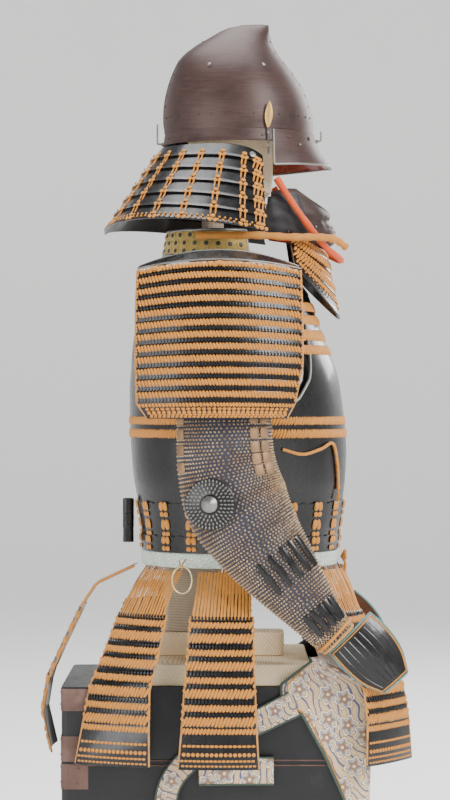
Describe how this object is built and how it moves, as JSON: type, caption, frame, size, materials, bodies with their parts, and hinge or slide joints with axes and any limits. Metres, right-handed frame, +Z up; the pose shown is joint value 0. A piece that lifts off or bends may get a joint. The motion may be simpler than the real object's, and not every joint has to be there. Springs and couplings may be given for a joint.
{
  "type": "samurai armour on a wooden stand and armour chest",
  "caption": "Laced samurai armour with helmet, half mask, shoulder guards, mail sleeves and skirt panels, hollow, on a wooden stand and a lacquered chest.",
  "frame": {"origin": "centre of the chest's underside", "axes": "+Z up, the armour faces -Y, and its right side is -X"},
  "size_m": [0.5842, 0.5974, 1.523],
  "materials": {
    "chest_lacquer": "worn dark lacquer over boards",
    "pale_wood": "planed pale softwood",
    "silver": "polished silver wire and rims",
    "orange_cord": "padded orange silk cord",
    "russet_iron": "russet brown iron with a satin finish",
    "mask_iron": "dark russet iron",
    "black_lacquer": "glossy black lacquer",
    "gilt_cloth": "gilt cloth stitched over small hexagon plates",
    "mail_cloth": "fine mail stitched to dark cloth",
    "teal_brocade": "pale teal brocade",
    "beige_brocade": "beige brocade with blue scrolls",
    "brass": "worn brass",
    "ochre_cord": "padded ochre silk cord",
    "ochre_lacing": "ochre silk lacing over black lacquered lames"
  },
  "bodies": {
    "armour": {"stand_base_board": "pale_wood", "stand_upper_board": "pale_wood", "stand_post": "pale_wood", "stand_shoulder_bar": "pale_wood", "stand_neck": "pale_wood", "stand_head_block": "pale_wood", "helmet_bowl": "russet_iron", "helmet_band": "russet_iron", "helmet_visor": "russet_iron", "helmet_hook_front": "russet_iron", "helmet_hook_rear": "russet_iron", "helmet_side_prong_right": "silver", "helmet_side_prong_left": "silver", "neck_guard": "black_lacquer", "mask": "mask_iron", "throat_guard": "ochre_lacing", "collar": "gilt_cloth", "cuirass_front": "black_lacquer", "cuirass_back": "black_lacquer", "shoulder_strap_right": "black_lacquer", "shoulder_strap_left": "black_lacquer", "waist_belt": "teal_brocade", "skirt_front": "ochre_lacing", "skirt_front_right": "ochre_lacing", "skirt_front_left": "ochre_lacing", "skirt_side_right": "ochre_lacing", "skirt_side_left": "ochre_lacing", "skirt_back_right": "ochre_lacing", "skirt_back_left": "ochre_lacing", "skirt_back": "ochre_lacing", "shoulder_guard_right": "ochre_lacing", "shoulder_guard_left": "ochre_lacing", "shoulder_top_plate_right": "black_lacquer", "shoulder_top_plate_left": "black_lacquer", "sleeve_right": "mail_cloth", "sleeve_left": "mail_cloth", "elbow_boss_right": "black_lacquer", "elbow_boss_left": "black_lacquer", "hand_guard_right": "black_lacquer", "hand_guard_left": "black_lacquer", "apron_right": "beige_brocade", "apron_left": "beige_brocade", "apron_strap_right": "beige_brocade", "apron_strap_end": "beige_brocade", "helmet_cord": "orange_cord", "neck_cord": "ochre_cord", "side_tie_cord": "ochre_lacing", "banner_socket": "russet_iron", "ring_lace": "ochre_lacing", "chest_box": "chest_lacquer", "chest_lid": "chest_lacquer"},
    "ring": {"waist_ring": "brass"}
  },
  "joints": [
    {"name": "ring_swing", "type": "hinge", "parent": "armour", "child": "ring", "pos_m": [-0.205, 0.05, 0.643], "axis": [0, 1, 0], "range_deg": [0, 70]}
  ]
}
